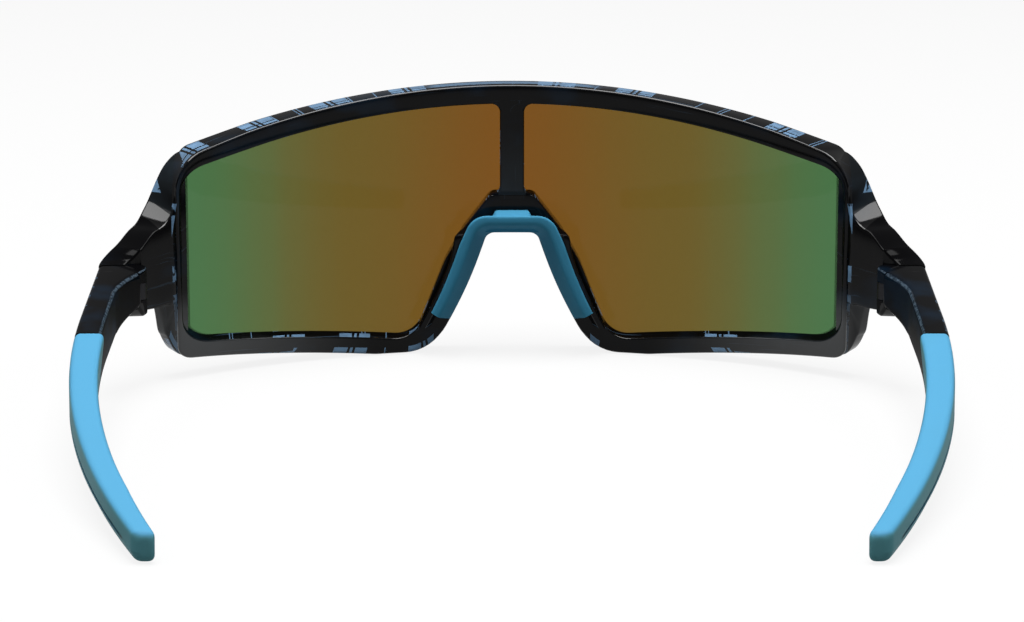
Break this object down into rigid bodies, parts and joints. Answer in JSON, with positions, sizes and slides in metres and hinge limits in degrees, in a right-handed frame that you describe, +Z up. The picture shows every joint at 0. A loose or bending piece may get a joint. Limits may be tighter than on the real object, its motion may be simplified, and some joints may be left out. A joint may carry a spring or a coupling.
{
  "type": "wraparound sunglasses",
  "caption": "Wraparound full-rim sport sunglasses with a curved shield lens, a rubber nose saddle and folding temples with rubber ear socks.",
  "frame": {"origin": "on the table under the middle of the glasses, halfway between the front of the brow and the tips of the ear socks", "axes": "+X to the wearer's left, +Z up, the glasses look along -Y"},
  "size_m": [0.1492, 0.158, 0.0513],
  "materials": {
    "gloss_black": "gloss, with a pale blue streak pattern",
    "lens": "tinted, mirror coated",
    "blue_rubber": "matte",
    "steel": "satin",
    "brass": "satin"
  },
  "bodies": {
    "front": {"front_frame": "gloss_black", "shield_lens": "lens", "nose_pad": "blue_rubber", "hinge_tongue_left": "steel", "hinge_tongue_right": "steel", "tongue_pin_left": "steel", "tongue_pin_right": "steel"},
    "left_temple": {"temple_left": "gloss_black", "ear_sock_left": "blue_rubber", "hinge_screw_left": "steel", "hinge_insert_left": "brass"},
    "right_temple": {"temple_right": "gloss_black", "ear_sock_right": "blue_rubber", "hinge_screw_right": "steel", "hinge_insert_right": "brass"}
  },
  "joints": [
    {"name": "left_hinge", "type": "hinge", "parent": "front", "child": "left_temple", "pos_m": [0.0678, -0.0375, 0.0184], "axis": [0, 0, 1], "range_deg": [0, 88]},
    {"name": "right_hinge", "type": "hinge", "parent": "front", "child": "right_temple", "pos_m": [-0.0678, -0.0375, 0.0184], "axis": [0, 0, -1], "range_deg": [0, 80]}
  ]
}
